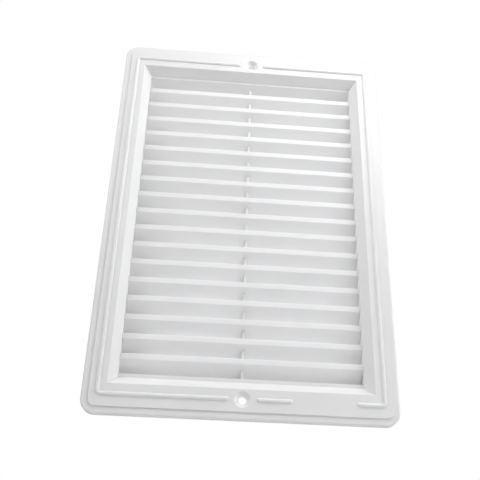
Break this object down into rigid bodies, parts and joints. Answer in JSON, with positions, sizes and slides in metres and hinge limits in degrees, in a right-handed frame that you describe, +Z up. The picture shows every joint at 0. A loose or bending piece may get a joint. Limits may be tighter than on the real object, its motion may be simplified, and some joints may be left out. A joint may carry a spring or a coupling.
{
  "type": "louvred ventilation grille",
  "caption": "Rectangular wall vent: bevelled face plate with a bead and screw holes round a sunk field of fixed sloping louvres, with a collar and a pull-out insect screen behind.",
  "frame": {"origin": "on the wall plane, midway between the two fixing screw holes", "axes": "+Z up along the plate's height, +Y from the face through the wall into the duct, +X to the right seen from the front"},
  "size_m": [0.165, 0.0259, 0.24],
  "materials": {
    "white_plastic": "satin white moulding",
    "screen_strands": "matte light grey strands"
  },
  "bodies": {
    "grille": {"front_frame": "white_plastic", "louvre_01": "white_plastic", "louvre_02": "white_plastic", "louvre_03": "white_plastic", "louvre_04": "white_plastic", "louvre_05": "white_plastic", "louvre_06": "white_plastic", "louvre_07": "white_plastic", "louvre_08": "white_plastic", "louvre_09": "white_plastic", "louvre_10": "white_plastic", "louvre_11": "white_plastic", "louvre_12": "white_plastic", "louvre_13": "white_plastic", "louvre_14": "white_plastic", "louvre_15": "white_plastic", "louvre_16": "white_plastic", "louvre_17": "white_plastic", "centre_rib": "white_plastic"},
    "screen": {"insect_screen": "screen_strands", "screen_frame": "white_plastic"}
  },
  "joints": [
    {"name": "screen_pull", "type": "slide", "parent": "grille", "child": "screen", "axis": [0, 1, 0], "range_m": [0, 0.03]}
  ]
}
